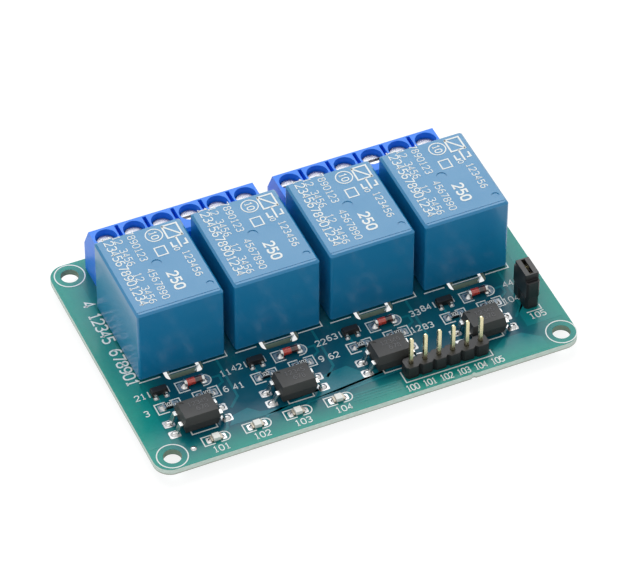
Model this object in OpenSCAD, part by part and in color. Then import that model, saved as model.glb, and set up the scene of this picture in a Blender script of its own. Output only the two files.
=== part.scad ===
// Four-channel relay module board.
// Origin: centre of the board in X and Y, Z = 0 at the tips of the trimmed leads.
// +X runs along the front edge, +Y towards the screw terminals, +Z up.

/* [Board] */
// Left edge of the board to the first relay
relay_left = 4.8; // [4:0.1:8]
// Right edge of the board to the last relay
relay_right = 4.4; // [4:0.1:8]
// Thickness of the laminate
board_t = 1.2; // [0.8:0.1:2]
// Corner radius of the board
board_r = 3; // [1:0.1:4]
// Length of lead left standing under the board
lead_drop = 1.8; // [1:0.1:3]
// Radial room round a lead in its plated hole
lead_room = 0.08; // [0.04:0.01:0.2]
// Width of the tie-tab notch in the front edge
notch_w = 0.9; // [0.4:0.1:1.6]
// Right edge of the board to the tie-tab notch
notch_right = 20.2; // [15:0.1:30]

/* [Mounting holes] */
// Diameter of the four mounting holes
mount_d = 3.1; // [2.2:0.1:3.4]
// Left edge to the centre of the left mounting holes
mount_left = 3.35; // [2.6:0.05:4]
// Right edge to the centre of the right mounting holes
mount_right = 2.7; // [2.4:0.05:3.6]
// Front and back edges to the centres of the mounting holes
mount_side = 2.9; // [2.4:0.05:3.2]

/* [Relays] */
// Gap between neighbouring relays
relay_gap = 1.9; // [0.5:0.1:4]
// Width of a relay cover
relay_w = 15.4; // [15:0.1:15.8]
// Depth of a relay cover
relay_d = 19.1; // [18.6:0.1:19.4]
// Height of a relay above the board
relay_h = 15.2; // [12:0.1:18]
// Wall thickness of a relay cover
relay_wall = 0.8; // [0.5:0.1:1.2]
// Radius of a cover's upright edges
relay_edge_r = 0.45; // [0.2:0.05:1]
// Bevel round a cover's top
relay_bevel = 0.35; // [0.1:0.05:0.8]
// Height of a cover's corner feet
relay_foot = 0.4; // [0.2:0.1:1]
// Thickness of the base plate that carries the pins
base_t = 1.6; // [1:0.1:3]
// Side of a relay to its paired pins
pin_inset = 1.7; // [1.5:0.1:3]
// Front of a relay to its common contact pin
common_front = 2.3; // [1.6:0.1:3]
// Common contact pin to the coil pins
coil_step = 2; // [1.6:0.1:3]
// Back of a relay to its fixed contact pins
contact_back = 2.6; // [1.6:0.1:4]

/* [Isolation slots] */
// Width of the milled slot round each common contact pin
slot_w = 1; // [0.6:0.1:1.4]
// Outside width of the slot's U
slot_span = 6.7; // [6:0.1:7.2]
// Length of the slot's two legs
slot_reach = 6; // [3:0.5:9]
// How far the slot reaches in front of the relay
slot_front = 1.6; // [1.2:0.1:2]

/* [Screw terminals] */
// Distance between neighbouring terminals
term_pitch = 5.08; // [5:0.01:5.1]
// Depth of a terminal block on the board
term_d = 7.8; // [7.6:0.1:8]
// Height of a terminal block above the board
term_h = 9.8; // [9.6:0.1:11]
// Height at which the wire side starts to lean in
term_lean_z = 6.1; // [5.5:0.1:7]
// How far the top of the wire side leans in
term_lean = 1.6; // [0.4:0.1:1.8]
// How far the row of blocks lies to the right of the board's middle
term_shift = 0.38; // [0:0.02:1]
// Gap between the relays and the terminal blocks
term_clear = 1.65; // [0.5:0.05:4]
// Back edge of the board to the terminal blocks
term_back = 2.15; // [1:0.05:5]
// Gap between the two pairs of blocks
term_gap = 3.2; // [1:0.1:4]
// Diameter of the screwdriver well
well_d = 3.75; // [3.6:0.05:4]
// Front of a block to the row of screws
well_y = 3.9; // [3.8:0.05:4]
// Height of a wire entry's floor above the board
entry_z = 1.05; // [0.8:0.05:1.3]
// Width and height of a wire entry
entry_w = 3.3; // [3:0.1:3.6]

/* [Terminal screws and clamps] */
// Diameter of a screw's head
head_d = 3.5; // [3.2:0.05:3.6]
// Height of a screw's head
head_h = 1.4; // [1:0.1:1.8]
// How deep a screw's head lies below the block's top
head_sink = 1.1; // [0.8:0.1:1.4]
// Diameter of a screw's shank
shank_d = 2.5; // [2:0.1:2.6]
// Outside width of a wire clamp
clamp_w = 3.7; // [3.5:0.05:3.8]
// Depth of a wire clamp
clamp_d = 4; // [3.4:0.1:4.2]
// Height of a wire clamp
clamp_h = 4; // [3.8:0.1:4.2]
// Thickness of a wire clamp's side walls
clamp_wall = 0.6; // [0.4:0.05:0.7]
// Thickness of a wire clamp's threaded top
clamp_top = 1; // [0.8:0.1:1.2]
// Sliding room round a wire clamp
clamp_room = 0.1; // [0.05:0.01:0.15]

/* [Optocouplers] */
// Left side of a relay to its optocoupler's centre
opto_x = 5.4; // [4:0.1:8]
// Gap between the indicators and the optocouplers
led_to_opto = 1.9; // [1:0.05:3]
// Width of an optocoupler between its lead rows
opto_w = 6.4; // [6:0.1:6.8]
// Depth of an optocoupler along its lead rows
opto_d = 4.55; // [4.2:0.05:5]
// Height of an optocoupler above the board
opto_h = 3.7; // [3:0.1:4]
// Span of the optocouplers' lead tips
opto_span = 9.6; // [9:0.1:10.4]

/* [Small parts] */
// Gap between the relays and the transistors
transistor_to_relay = 2.95; // [2:0.05:3.2]
// Gap between the relays and the diodes
diode_to_relay = 3.2; // [2:0.05:5]
// Gap between the diodes and the resistors
resistor_to_diode = 1.875; // [1:0.025:3]
// Gap between the resistors and the optocouplers
opto_to_resistor = 2.1; // [1:0.05:3]
// Diameter of a diode's glass
diode_d = 1.4; // [1:0.1:1.6]
// Length of a diode with its caps
diode_l = 3.5; // [3:0.1:4]
// Length of a chip resistor
resistor_l = 2; // [1.6:0.1:2.2]
// Width of a chip resistor
resistor_w = 1.25; // [0.8:0.05:1.4]
// Left edge of the board to the first indicator's centre
led_left = 11.45; // [10.5:0.05:12]
// Distance between neighbouring indicators
led_pitch = 7.3; // [6.5:0.1:8]
// Width of an indicator across its ends
led_d = 1.25; // [1:0.05:1.4]
// Front edge of the board to the indicators' centres
led_front = 3.7; // [3:0.1:6]

/* [Headers] */
// Distance between neighbouring header pins
head_pitch = 2.54; // [2.5:0.01:2.56]
// Side of a square header pin
post_w = 0.64; // [0.5:0.01:0.66]
// Height of a header's plastic strip
strip_h = 2.5; // [2:0.1:3]
// Length of pin above a header's strip
post_up = 5.6; // [4:0.1:7]
// Number of input pins
inputs = 6; // [2:1:6]
// Right edge of the board to the last input pin
input_right = 17.05; // [12:0.05:24]
// Front edge of the board to the row of input pins
input_front = 4.4; // [4:0.1:5]
// Right edge of the board to the jumper pins
jumper_right = 4.7; // [4:0.1:8]
// Front edge of the board to the nearer jumper pin
jumper_front = 11.2; // [10.5:0.1:12]
// Width of the jumper cap
cap_w = 2.45; // [2.3:0.05:2.5]
// Length of the jumper cap
cap_l = 5.5; // [5:0.1:6]
// Height of the jumper cap
cap_h = 5; // [4.5:0.1:6]
// Thickness of the spring clip in the jumper cap
clip_t = 0.2; // [0.15:0.01:0.25]

/* [Hidden] */
eps = 0.01;
round_fn = 48;
channels = 4;
poles = 3;
top_z = lead_drop + board_t;
block_w = poles * term_pitch;
opto_front = led_front + led_d / 2 + led_to_opto + opto_d / 2;
resistor_front = opto_front + opto_d / 2 + opto_to_resistor + resistor_w / 2;
diode_front = resistor_front + resistor_w / 2 + resistor_to_diode + diode_d / 2;
relay_front = diode_front + diode_d / 2 + diode_to_relay;
transistor_d = 1.3;
transistor_front = relay_front - transistor_to_relay - transistor_d / 2;
relay_pitch = relay_w + relay_gap;
board_w = relay_left + (channels - 1) * relay_pitch + relay_w + relay_right;
board_d = relay_front + relay_d + term_clear + term_d + term_back;
x0 = -board_w / 2;
y0 = -board_d / 2;
seat_room = 0.05;
relay_pin_w = 1.1;
relay_pin_t = 0.5;
coil_pin_w = 0.6;
lead_rise = 0.3;
mark_depth = 0.12;
gate_d = 1.8;
vent_d = 1.3;
vent_inset = 1.4;
vent_front = 2.5;
gate_back = 0.8;
foot_l = 1.6;
pin_inner = 2;
ridge_inset = 0.75;

term_x = term_shift - (channels * block_w + term_gap) / 2;
term_y = y0 + board_d - term_back - term_d;
block_bevel = 0.5;
slit_w = 0.65;
slit_inset = 0.3;
slit_l = 4.6;
slit_depth = 1.6;
dove_y = 1.7;
dove_root = 1.1;
dove_tip = 1.6;
dove_out = 0.5;
end_draft = 0.22;

head_z = term_h - head_sink;
shelf_z = head_z - head_h;
shelf_t = 0.7;
chamber_top = shelf_z - shelf_t;
chamber_floor = 0.6;
chamber_w = clamp_w + 2 * clamp_room;
clamp_y0 = well_y - clamp_d / 2;
clamp_z0 = chamber_floor + seat_room;
clamp_base = 0.6;
window_w = clamp_w - 2 * clamp_wall;
window_top = clamp_z0 + clamp_h - clamp_top;
tongue_t = 0.5;
tongue_room = 0.1;
tongue_top = window_top - seat_room;
tongue_w = window_w - 2 * tongue_room;
riser_room = 0.4;
riser_y = clamp_y0 - riser_room - tongue_t;
chamber_y0 = riser_y - 2 * seat_room;
chamber_y1 = well_y + clamp_d / 2 + 2 * clamp_room;
shank_end = tongue_top + seat_room + clamp_room;
shank_room = 0.03;
shelf_hole_d = 2.9;
driver_slot_w = 0.6;
driver_slot_depth = 0.7;
head_bevel = 0.2;
tail_w = 0.9;

opto_lead_w = 1;
opto_lead_t = 0.25;
opto_pitch = 2.54;
opto_waist = 0.6;
opto_clear = 0.3;
opto_dot_d = 0.7;
opto_dot_inset = 0.9;
opto_foot = 0.55;

transistor_w = 2.9;
transistor_h = 1.1;
transistor_x = 2;
transistor_gap = 0.1;
transistor_draft = 0.2;
transistor_pitch = 1.9;
leg_w = 0.42;
leg_t = 0.14;
leg_foot = 0.35;
leg_reach = 0.55;
diode_x = 8.1;
diode_cap_l = 0.42;
resistor_h = 0.5;
resistor_end = 0.35;
resistor_xs = [2.3, 9.1];
led_w = 2;
led_h = 0.8;
led_end = 0.35;
led_dome_w = 1.2;

strip_chamfer = 0.45;
input_x = -x0 - input_right - (inputs - 1) * head_pitch;
post_bevel = 0.2;
post_low = board_t + lead_drop;
cap_z = top_z + strip_h + seat_room;
cap_step = 0.7;
cap_step_z = 3.6;
cap_corner = 0.3;
cap_slot_l = 3.5;
clip_room = 0.02;
clip_in = post_w / 2 + clip_room;
clip_w = 2 * (clip_in + clip_t);
clip_past = 0.25;
clip_l = head_pitch + post_w + 2 * clip_past;
clip_h = 3.4;
clip_z = 0.8;
clip_web = 1.2;

// ---- places ----

function channel_x(i, off) = x0 + relay_left + (i - 1) * relay_pitch + off;
function relay_x(i) = channel_x(i, relay_w / 2);
function led_x(i) = x0 + led_left + (i - 1) * led_pitch;
function block_x(b) = term_x + (b - 1) * block_w + (b > channels / 2 ? term_gap : 0);
function pole_x(k) = (k + 0.5) * term_pitch;
function relay_pin_places() = [
    [0, common_front],
    for (y = [common_front + coil_step, relay_d - contact_back], s = [-1, 1]) [s * (relay_w / 2 - pin_inset), y]
];

module at_relay(i) translate([relay_x(i), y0 + relay_front, top_z]) children();
module at_block(b) translate([block_x(b), term_y, top_z]) children();
module at_pole(n) at_block(ceil(n / poles)) translate([pole_x((n - 1) % poles), 0, 0]) children();
module at_inputs() translate([input_x, y0 + input_front, top_z]) children();
module at_jumper() translate([-x0 - jumper_right, y0 + jumper_front, top_z]) children();

// ---- shared shapes ----

// Rectangle with true arcs at its corners, from the origin
module rounded_plate(w, d, r) {
    translate([r, 0]) square([w - 2 * r, d]);
    translate([0, r]) square([w, d - 2 * r]);
    for (x = [r, w - r], y = [r, d - r]) translate([x, y]) circle(r, $fn = round_fn);
}

// Box centred in X and Y that stands on Z = 0
module block(w, d, h) translate([-w / 2, -d / 2, 0]) cube([w, d, h]);

// Gull-wing lead in the XZ plane: out of the body at height h, down to the board, and out
module gull_wing(from_x, to_x, h, foot, t, w) {
    knee = from_x + 2 * t;
    ankle = to_x - foot;
    translate([0, w / 2, 0]) rotate([90, 0, 0]) linear_extrude(w)
        polygon([
            [from_x, h - t / 2], [knee - t / 2, h - t / 2], [ankle - t / 2, 0], [to_x, 0],
            [to_x, t], [ankle + t / 2, t], [knee + t / 2, h + t / 2], [from_x, h + t / 2]
        ]);
}

// ---- circuit board ----

// U-shaped slot that parts the common contact from the coil side
module isolation_slot() {
    r = slot_w;
    inner = slot_span - 2 * slot_w;
    translate([-slot_span / 2, -slot_front]) difference() {
        union() {
            rounded_plate(slot_span, slot_reach, r);
            translate([0, slot_reach - r]) square([slot_span, r]);
        }
        translate([slot_w, slot_w]) square([inner, slot_reach]);
    }
    for (s = [-1, 1])
        translate([s * (slot_span - slot_w) / 2, slot_reach - slot_front])
            circle(slot_w / 2, $fn = round_fn);
}

module board_outline() {
    difference() {
        translate([x0, y0]) rounded_plate(board_w, board_d, board_r);
        for (i = [1 : channels])
            translate([relay_x(i), y0 + relay_front]) isolation_slot();
        translate([-x0 - notch_right, y0 - notch_w / 4]) circle(notch_w / 2, $fn = round_fn);
    }
}

module lead_hole(half_diagonal) {
    translate([0, 0, -eps]) cylinder(r = half_diagonal + lead_room, h = board_t + 2 * eps, $fn = round_fn);
}

module circuit_board() {
    half_pin = norm([relay_pin_w, relay_pin_t]) / 2;
    half_coil = norm([coil_pin_w, relay_pin_t]) / 2;
    half_tail = norm([tail_w, tongue_t]) / 2;
    half_post = post_w * sqrt(2) / 2;
    color("teal") difference() {
        translate([0, 0, lead_drop]) linear_extrude(board_t) board_outline();
        for (x = [x0 + mount_left, x0 + board_w - mount_right], y = [y0 + mount_side, -y0 - mount_side])
            translate([x, y, lead_drop - eps]) cylinder(d = mount_d, h = board_t + 2 * eps, $fn = round_fn);
        translate([0, 0, -board_t]) {
            for (i = [1 : channels]) at_relay(i) for (k = [0 : 4])
                translate(relay_pin_places()[k]) lead_hole(k == 1 || k == 2 ? half_coil : half_pin);
            for (n = [1 : channels * poles]) at_pole(n)
                translate([0, riser_y + tongue_t / 2, 0]) lead_hole(half_tail);
            at_inputs() for (k = [0 : inputs - 1]) translate([k * head_pitch, 0, 0]) lead_hole(half_post);
            at_jumper() for (k = [0, 1]) translate([0, k * head_pitch, 0]) lead_hole(half_post);
        }
    }
}

// ---- relays ----

module bevelled_box(w, d, h, r, bevel) {
    hull() {
        linear_extrude(h - bevel) translate([-w / 2, 0]) offset(r, $fn = 32) offset(-r) square([w, d]);
        translate([0, 0, h - eps]) linear_extrude(eps) translate([-w / 2, 0])
            offset(r, $fn = 32) offset(-r - bevel) square([w, d]);
    }
}

module relay_cover(i) {
    inner_w = relay_w - 2 * relay_wall;
    inner_d = relay_d - 2 * relay_wall;
    shell_h = relay_h - relay_foot;
    color("steelblue") at_relay(i) {
        difference() {
            translate([0, 0, relay_foot]) bevelled_box(relay_w, relay_d, shell_h, relay_edge_r, relay_bevel);
            translate([-inner_w / 2, relay_wall, relay_foot - eps])
                cube([inner_w, inner_d, shell_h - relay_wall]);
            translate([0, relay_d / 2 + gate_back, relay_h - mark_depth])
                cylinder(d = gate_d, h = 1, $fn = 24);
            translate([-relay_w / 2, ridge_inset, relay_h - mark_depth / 2]) cube([relay_w, mark_depth, 1]);
            translate([relay_w / 2 - vent_inset, vent_front, relay_h - mark_depth])
                cylinder(d = vent_d, h = 1, $fn = 24);
        }
        for (x = [-1, 1], y = [0, 1])
            translate([x * (relay_w / 2 - relay_wall) - relay_wall / 2,
                       relay_edge_r + y * (relay_d - 2 * relay_edge_r - foot_l), 0])
                cube([relay_wall, foot_l, relay_foot]);
    }
}

module relay_base(i) {
    w = relay_w - 2 * (relay_wall + seat_room);
    d = relay_d - 2 * (relay_wall + seat_room);
    color("midnightblue") at_relay(i) difference() {
        translate([-w / 2, relay_wall + seat_room, relay_foot + lead_rise / 2]) cube([w, d, base_t]);
        for (p = relay_pin_places()) translate([p[0], p[1], 0])
            translate([0, 0, -eps]) block(relay_pin_w + 2 * seat_room, relay_pin_t + 2 * seat_room, relay_h / 2);
    }
}

module relay_pins() {
    pin_top = relay_foot + base_t + pin_inner;
    color("silver") for (i = [1 : channels]) at_relay(i) for (k = [0 : 4]) {
        w = k == 1 || k == 2 ? coil_pin_w : relay_pin_w;
        translate([relay_pin_places()[k][0], relay_pin_places()[k][1], -top_z])
            block(w, relay_pin_t, top_z + pin_top);
    }
}

// ---- screw terminals ----

// Outline of a block seen from its end: square on the relay side, leaning in on the wire side
module block_profile() {
    polygon([
        [0, 0], [term_d, 0], [term_d, term_lean_z], [term_d - term_lean, term_h],
        [block_bevel, term_h], [0, term_h - block_bevel]
    ]);
}

module dovetail(grow) {
    linear_extrude(term_lean_z)
        polygon([
            [0, dove_y - dove_root / 2 - grow], [dove_out + grow, dove_y - dove_tip / 2 - grow],
            [dove_out + grow, dove_y + dove_tip / 2 + grow], [0, dove_y + dove_root / 2 + grow]
        ]);
}

// Everything taken out of a block for one pole, centred on the pole in X
module pole_cuts() {
    entry_top = entry_z + entry_w;
    translate([0, well_y, shelf_z]) cylinder(d = well_d, h = term_h, $fn = round_fn);
    translate([0, well_y, chamber_top - eps])
        cylinder(d = shelf_hole_d, h = shelf_t + 2 * eps, $fn = round_fn);
    translate([-chamber_w / 2, chamber_y0, chamber_floor])
        cube([chamber_w, chamber_y1 - chamber_y0, chamber_top - chamber_floor]);
    translate([-entry_w / 2, chamber_y1 - eps, entry_z]) cube([entry_w, term_d, entry_w]);
    translate([-(tail_w + 2 * seat_room) / 2, riser_y - seat_room, -eps])
        cube([tail_w + 2 * seat_room, tongue_t + 2 * seat_room, chamber_floor + 2 * eps]);
}

module slit() {
    y1 = term_d - term_lean - slit_inset;
    translate([-slit_w / 2, y1 - slit_l, term_h - slit_depth]) cube([slit_w, slit_l, slit_depth + eps]);
}

// Wedge that gives a block's outer end its slight draft above the lean line
module end_relief(side) {
    rotate([90, 0, 0]) translate([0, 0, -term_d - eps]) linear_extrude(term_d + 2 * eps)
        polygon([[0, term_lean_z], [side * end_draft, term_h + eps], [-side, term_h + eps], [-side, term_lean_z]]);
}

module terminal_block(b) {
    outer_left = b % 2 == 1;
    color("dodgerblue") at_block(b) difference() {
        union() {
            rotate([90, 0, 90]) linear_extrude(block_w) block_profile();
            translate([block_w, 0, 0]) dovetail(0);
        }
        for (k = [0 : poles - 1]) translate([pole_x(k), 0, 0]) pole_cuts();
        for (k = [0 : poles]) if ((k > 0 || !outer_left) && (k < poles || outer_left))
            translate([k * term_pitch, 0, 0]) slit();
        translate([0, 0, -eps]) dovetail(seat_room);
        if (outer_left) end_relief(1);
        else translate([block_w, 0, 0]) end_relief(-1);
    }
}

module clamp_screw(n) {
    color("gainsboro") at_pole(n) translate([0, well_y, 0]) difference() {
        rotate_extrude($fn = round_fn) polygon([
            [0, shank_end], [shank_d / 2 - head_bevel, shank_end], [shank_d / 2, shank_end + head_bevel],
            [shank_d / 2, shelf_z + seat_room], [head_d / 2, shelf_z + seat_room],
            [head_d / 2, head_z - head_bevel], [head_d / 2 - head_bevel, head_z], [0, head_z]
        ]);
        translate([-head_d, -driver_slot_w / 2, head_z - driver_slot_depth])
            cube([2 * head_d, driver_slot_w, driver_slot_depth + eps]);
    }
}

module wire_clamp(n) {
    color("silver") at_pole(n) translate([-clamp_w / 2, clamp_y0, clamp_z0]) difference() {
        cube([clamp_w, clamp_d, clamp_h]);
        translate([clamp_wall, -eps, clamp_base])
            cube([window_w, clamp_d + 2 * eps, clamp_h - clamp_base - clamp_top]);
        translate([clamp_w / 2, clamp_d / 2, clamp_h - clamp_top - eps])
            cylinder(r = shank_d / 2 + shank_room, h = clamp_top + 2 * eps, $fn = round_fn);
    }
}

// Tongue through the clamp, riser in front of it, and solder tail
module terminal_contacts(b) {
    color("silver") for (k = [0 : poles - 1]) at_block(b) translate([pole_x(k), 0, 0]) {
        translate([-tongue_w / 2, riser_y, tongue_top - tongue_t])
            cube([tongue_w, clamp_y0 + clamp_d - riser_y, tongue_t]);
        translate([-tongue_w / 2, riser_y, chamber_floor + seat_room])
            cube([tongue_w, tongue_t, tongue_top - chamber_floor - seat_room]);
        translate([-tail_w / 2, riser_y, -top_z]) cube([tail_w, tongue_t, top_z + chamber_floor + tongue_t]);
    }
}

// ---- optocouplers ----

module optocoupler(i) {
    waist_z = (opto_clear + opto_h) / 2;
    color("dimgray") translate([channel_x(i, opto_x), y0 + opto_front, top_z]) difference() {
        hull() {
            translate([0, 0, opto_clear]) block(opto_w - opto_waist, opto_d - opto_waist, eps);
            translate([0, 0, waist_z]) block(opto_w, opto_d, eps);
            translate([0, 0, opto_h - eps]) block(opto_w - opto_waist, opto_d - opto_waist, eps);
        }
        translate([-opto_w / 2 + opto_dot_inset, opto_d / 2 - opto_dot_inset, opto_h - mark_depth])
            cylinder(d = opto_dot_d, h = 1, $fn = 24);
    }
}

module optocoupler_leads() {
    waist_z = (opto_clear + opto_h) / 2;
    color("silver") for (i = [1 : channels], s = [-1, 1], k = [-1, 1])
        translate([channel_x(i, opto_x), y0 + opto_front + k * opto_pitch / 2, top_z]) scale([s, 1, 1])
            gull_wing(opto_w / 2, opto_span / 2, waist_z, opto_foot, opto_lead_t, opto_lead_w);
}

// ---- small surface-mounted parts ----

module transistors() {
    color("black") for (i = [1 : channels])
        translate([channel_x(i, transistor_x), y0 + transistor_front, top_z + transistor_gap])
            hull() {
                block(transistor_w, transistor_d, transistor_h / 2);
                block(transistor_w - transistor_draft, transistor_d - transistor_draft, transistor_h - transistor_gap);
            }
}

module transistor_leads() {
    color("silver") for (i = [1 : channels])
        translate([channel_x(i, transistor_x), y0 + transistor_front, top_z])
            for (p = [[-transistor_pitch / 2, -90], [transistor_pitch / 2, -90], [0, 90]])
                translate([p[0], 0, 0]) rotate([0, 0, p[1]])
                    gull_wing(transistor_d / 2, transistor_d / 2 + leg_reach + leg_foot / 2,
                              transistor_h / 2, leg_foot, leg_t, leg_w);
}

module at_diodes() {
    for (i = [1 : channels])
        translate([channel_x(i, diode_x), y0 + diode_front, top_z + diode_d / 2]) rotate([0, 90, 0]) children();
}

module diode_glass() {
    glass_l = diode_l - 2 * diode_cap_l;
    color("firebrick") at_diodes() translate([0, 0, -glass_l / 2])
        cylinder(d = diode_d - 2 * seat_room, h = glass_l, $fn = round_fn);
}

module diode_caps() {
    color("silver") at_diodes() for (s = [-1, 1])
        translate([0, 0, s * (diode_l - diode_cap_l) / 2])
            cylinder(d = diode_d, h = diode_cap_l, center = true, $fn = round_fn);
}

// Chip part with a body between two metal ends
module chip(l, w, h, end) {
    block(l - 2 * end, w - 2 * seat_room, h - seat_room);
    for (s = [-1, 1]) translate([s * (l - end) / 2, 0, 0]) block(end, w, h);
}

module resistors() {
    color("black") for (i = [1 : channels], x = resistor_xs)
        translate([channel_x(i, x), y0 + resistor_front, top_z])
            chip(resistor_l, resistor_w, resistor_h, resistor_end);
}

module indicator_lights() {
    color("white") for (i = [1 : channels])
        translate([led_x(i), y0 + led_front, top_z]) {
            chip(led_w, led_d, led_h / 2, led_end);
            translate([0, 0, led_h / 2 - seat_room]) block(led_dome_w, led_d, led_h / 2 + seat_room);
        }
}

// ---- headers and jumper ----

// Plastic strip of n cells along X, each cell with cut corners
module strip(n) {
    half = head_pitch / 2;
    c = strip_chamfer;
    difference() {
        linear_extrude(strip_h) for (k = [0 : n - 1]) translate([k * head_pitch, 0])
            polygon([
                [-half, c - half], [c - half, -half], [half - c, -half], [half, c - half],
                [half, half - c], [half - c, half], [c - half, half], [-half, half - c]
            ]);
        for (k = [0 : n - 1]) translate([k * head_pitch, 0, -eps])
            block(post_w + seat_room, post_w + seat_room, strip_h + 2 * eps);
    }
}

// Square pin with bevelled tips, from below the board to above the strip
module post() {
    length = post_low + strip_h + post_up;
    translate([0, 0, -post_low]) hull() {
        translate([0, 0, post_bevel]) block(post_w, post_w, length - 2 * post_bevel);
        block(post_w / 2, post_w / 2, length);
    }
}

module input_strip() { color("black") at_inputs() strip(inputs); }

module input_pins() {
    color("gold") at_inputs() for (k = [0 : inputs - 1]) translate([k * head_pitch, 0, 0]) post();
}

module jumper_strip() { color("black") at_jumper() rotate([0, 0, 90]) strip(2); }

module jumper_pins() {
    color("gold") at_jumper() for (k = [0, 1]) translate([0, k * head_pitch, 0])
        translate([0, 0, -post_low]) block(post_w, post_w, post_low + strip_h + clip_z + clip_h - clip_t);
}

// Cap over both jumper pins, with stepped ends and a slot in its top
module jumper_cap() {
    top_l = cap_l - 2 * cap_step;
    color("black") at_jumper() translate([0, head_pitch / 2, strip_h + seat_room]) difference() {
        union() {
            linear_extrude(cap_step_z) polygon([
                [-cap_w / 2, cap_corner - cap_l / 2], [cap_corner - cap_w / 2, -cap_l / 2],
                [cap_w / 2 - cap_corner, -cap_l / 2], [cap_w / 2, cap_corner - cap_l / 2],
                [cap_w / 2, cap_l / 2 - cap_corner], [cap_w / 2 - cap_corner, cap_l / 2],
                [cap_corner - cap_w / 2, cap_l / 2], [-cap_w / 2, cap_l / 2 - cap_corner]
            ]);
            block(cap_w, top_l, cap_h);
        }
        translate([0, 0, -eps]) block(clip_w + seat_room, clip_l + seat_room, clip_z + clip_h + seat_room);
        block(clip_w - 2 * clip_t, cap_slot_l, cap_h + eps);
    }
}

// Spring clip: two leaves along the pins, joined by a web between them
module jumper_clip() {
    color("gainsboro") at_jumper() translate([0, head_pitch / 2, strip_h + seat_room + clip_z]) {
        for (s = [-1, 1]) translate([s * (clip_in + clip_t / 2), 0, 0]) block(clip_t, clip_l, clip_h);
        translate([0, 0, clip_h / 2]) block(clip_w, clip_web, clip_t);
    }
}

// ---- nodes ----

circuit_board();
for (i = [1 : channels]) {
    relay_cover(i);
    relay_base(i);
    terminal_block(i);
    terminal_contacts(i);
    optocoupler(i);
}
for (n = [1 : channels * poles]) {
    clamp_screw(n);
    wire_clamp(n);
}
relay_pins();
optocoupler_leads();
transistors();
transistor_leads();
diode_glass();
diode_caps();
resistors();
indicator_lights();
input_strip();
input_pins();
jumper_strip();
jumper_pins();
jumper_cap();
jumper_clip();
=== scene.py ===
"""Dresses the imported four-channel relay board: mask, copper, print, solder, mouldings and stage."""
import math
import random

import bmesh
import bpy
from bpy.props import FloatProperty, FloatVectorProperty, PointerProperty
from mathutils import Matrix, Vector


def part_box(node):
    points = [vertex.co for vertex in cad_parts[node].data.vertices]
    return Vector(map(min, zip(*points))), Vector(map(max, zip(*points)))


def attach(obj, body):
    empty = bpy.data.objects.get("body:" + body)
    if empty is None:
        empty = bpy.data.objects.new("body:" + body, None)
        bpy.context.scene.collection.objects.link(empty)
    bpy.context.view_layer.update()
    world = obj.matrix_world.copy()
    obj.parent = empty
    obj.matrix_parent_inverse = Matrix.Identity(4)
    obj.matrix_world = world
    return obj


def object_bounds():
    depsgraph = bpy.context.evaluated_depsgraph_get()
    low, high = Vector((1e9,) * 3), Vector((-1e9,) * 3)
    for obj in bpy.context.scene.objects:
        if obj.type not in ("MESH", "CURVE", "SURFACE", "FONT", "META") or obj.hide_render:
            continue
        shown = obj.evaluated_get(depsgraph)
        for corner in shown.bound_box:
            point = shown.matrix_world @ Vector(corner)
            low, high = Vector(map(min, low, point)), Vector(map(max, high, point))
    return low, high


bl_info = {
    "name": "Relay Module Board",
    "version": (1, 0, 0),
    "blender": (4, 5, 0),
    "location": "3D View > Sidebar > Relay Board",
    "description": "Finishes, print, copper and solder for a four-channel relay module board",
    "category": "Object",
}

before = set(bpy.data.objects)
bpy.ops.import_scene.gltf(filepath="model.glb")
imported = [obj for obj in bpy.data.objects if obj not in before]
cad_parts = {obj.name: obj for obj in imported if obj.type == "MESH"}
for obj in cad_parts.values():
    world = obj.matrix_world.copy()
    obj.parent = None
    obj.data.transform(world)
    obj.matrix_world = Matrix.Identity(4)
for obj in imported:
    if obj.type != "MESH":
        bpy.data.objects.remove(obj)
bpy.context.view_layer.update()
CAD_BOX = [list(corner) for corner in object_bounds()]

MM = 0.001
CHANNELS = range(1, 5)
POLES = range(1, 13)
INK_T = 0.05
COPPER_T = 0.035
FILL_T = COPPER_T * 0.6
MOUNT_LEFT, MOUNT_RIGHT, MOUNT_SIDE = 3.35, 2.7, 2.9
RESISTOR_AT = (2.3, 9.1)
DIODE_HALF = 1.75
LIGHT_HALF = 1
CAMERA_TURN, CAMERA_TILT = math.radians(-23.788), math.radians(45.052)
CAMERA_AIM, CAMERA_REACH = (-0.35, -1.97, 8.0), 0.74818


def corners(node):
    """Lowest and highest corner of a CAD node, as vectors in metres."""
    low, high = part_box(node)
    return Vector(low), Vector(high)


BOARD_LOW, BOARD_HIGH = corners("circuit_board")
BOARD_W = (BOARD_HIGH.x - BOARD_LOW.x) / MM
BOARD_D = (BOARD_HIGH.y - BOARD_LOW.y) / MM
BOARD_T = (BOARD_HIGH.z - BOARD_LOW.z) / MM


def on_board(point):
    """A point in metres as millimetres from the board's front left corner and top face."""
    return (point - Vector((BOARD_LOW.x, BOARD_LOW.y, BOARD_HIGH.z))) / MM


def board_box(node):
    """A CAD node's corners in millimetres on the board."""
    low, high = corners(node)
    return on_board(low), on_board(high)


def middle(node):
    """The centre of a CAD node in millimetres on the board."""
    low, high = board_box(node)
    return (low + high) / 2


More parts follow.
